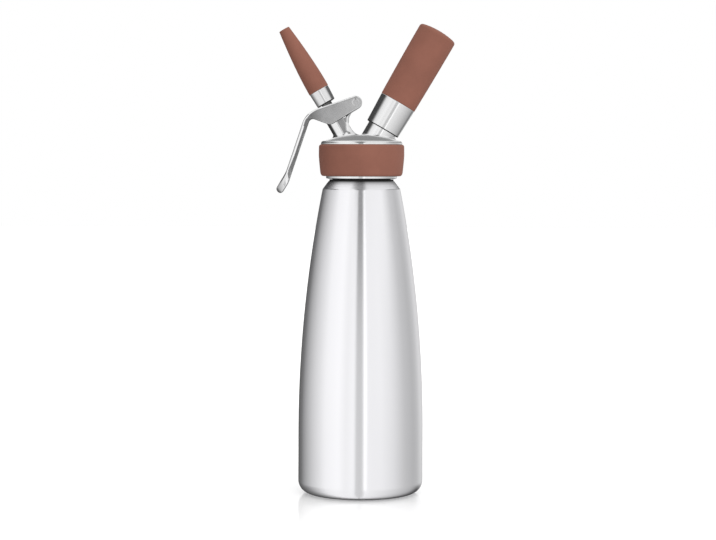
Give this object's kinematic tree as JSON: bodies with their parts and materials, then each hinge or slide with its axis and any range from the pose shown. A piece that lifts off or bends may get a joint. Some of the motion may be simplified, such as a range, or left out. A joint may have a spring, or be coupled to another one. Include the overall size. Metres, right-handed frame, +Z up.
{
  "type": "nitro coffee maker",
  "caption": "Steel pressure bottle with a screw-on dispensing head that carries a lever, a spout on a spring-loaded valve and a screw-on gas charger holder.",
  "frame": {"origin": "centre of the flat underside of the bottle, on the bottle's axis", "axes": "+Z up along the bottle's axis, +X towards the side that the charger holder leans to, the lever and the spout on -X, +Y away from the camera of the picture"},
  "size_m": [0.1346, 0.095, 0.3572],
  "materials": {
    "brushed_bottle_steel": "brushed round the bottle",
    "polished_steel": "polished casting",
    "satin_steel": "fine turned satin",
    "pin_steel": "turned",
    "spring_steel": "drawn wire",
    "charger_steel": "drawn and plated",
    "brass": "turned",
    "brown_silicone": "matte silicone",
    "brown_spout": "matte silicone over the ferrule",
    "seal_silicone": "matte grey silicone"
  },
  "bodies": {
    "bottle": {"bottle": "brushed_bottle_steel"},
    "gasket": {"head_gasket": "seal_silicone"},
    "head": {"head_casting": "polished_steel", "grip_band": "brown_silicone", "lever_pin": "pin_steel", "pin_clip": "pin_steel", "valve_spring": "spring_steel", "pin_carrier": "brass", "piercing_pin": "pin_steel", "charger_seal": "seal_silicone", "check_valve": "seal_silicone"},
    "lever": {"lever": "polished_steel"},
    "valve": {"valve_stem": "pin_steel", "press_collar": "pin_steel", "stem_seal": "seal_silicone", "valve_disc": "seal_silicone", "valve_retainer": "pin_steel"},
    "spout_washer": {"tip_seal": "seal_silicone"},
    "spout": {"tip_ferrule": "satin_steel", "tip_sleeve": "brown_spout"},
    "charger": {"gas_charger": "charger_steel"},
    "holder": {"holder_shell": "satin_steel", "holder_sleeve": "brown_silicone"}
  },
  "joints": [
    {"name": "head_rise", "type": "slide", "parent": "bottle", "child": "gasket", "axis": [0, 0, 1], "range_m": [0, 0.02]},
    {"name": "head_turn", "type": "hinge", "parent": "gasket", "child": "head", "pos_m": [0, 0, 0.25], "axis": [0, 0, 1], "range_deg": [0, 1800]},
    {"name": "lever_pull", "type": "hinge", "parent": "head", "child": "lever", "pos_m": [-0.00463, 0, 0.29756], "axis": [0, -1, 0], "range_deg": [0, 11.4]},
    {"name": "valve_press", "type": "slide", "parent": "head", "child": "valve", "axis": [0.5, 0, -0.866], "range_m": [0, 0.004], "stiffness_N_per_m": 2500, "springref_m": -0.006, "deforming": ["valve_spring"]},
    {"name": "spout_rise", "type": "slide", "parent": "valve", "child": "spout_washer", "axis": [-0.5, 0, 0.866], "range_m": [0, 0.012]},
    {"name": "spout_turn", "type": "hinge", "parent": "spout_washer", "child": "spout", "pos_m": [-0.04, 0, 0.31963], "axis": [-0.5, 0, 0.866], "range_deg": [0, 2880]},
    {"name": "charger_rise", "type": "slide", "parent": "head", "child": "charger", "axis": [0.5, 0, 0.866], "range_m": [0, 0.019]},
    {"name": "holder_turn", "type": "hinge", "parent": "charger", "child": "holder", "pos_m": [0.04, 0, 0.31963], "axis": [0.5, 0, 0.866], "range_deg": [0, 3420]}
  ],
  "couplings": [
    {"joint": "head_turn", "follows": "head_rise", "rad_per_m": 1570.8},
    {"joint": "lever_pull", "follows": "valve_press", "rad_per_m": 49.727},
    {"joint": "spout_turn", "follows": "spout_rise", "rad_per_m": 4188.8},
    {"joint": "holder_turn", "follows": "charger_rise", "rad_per_m": 3141.6}
  ]
}
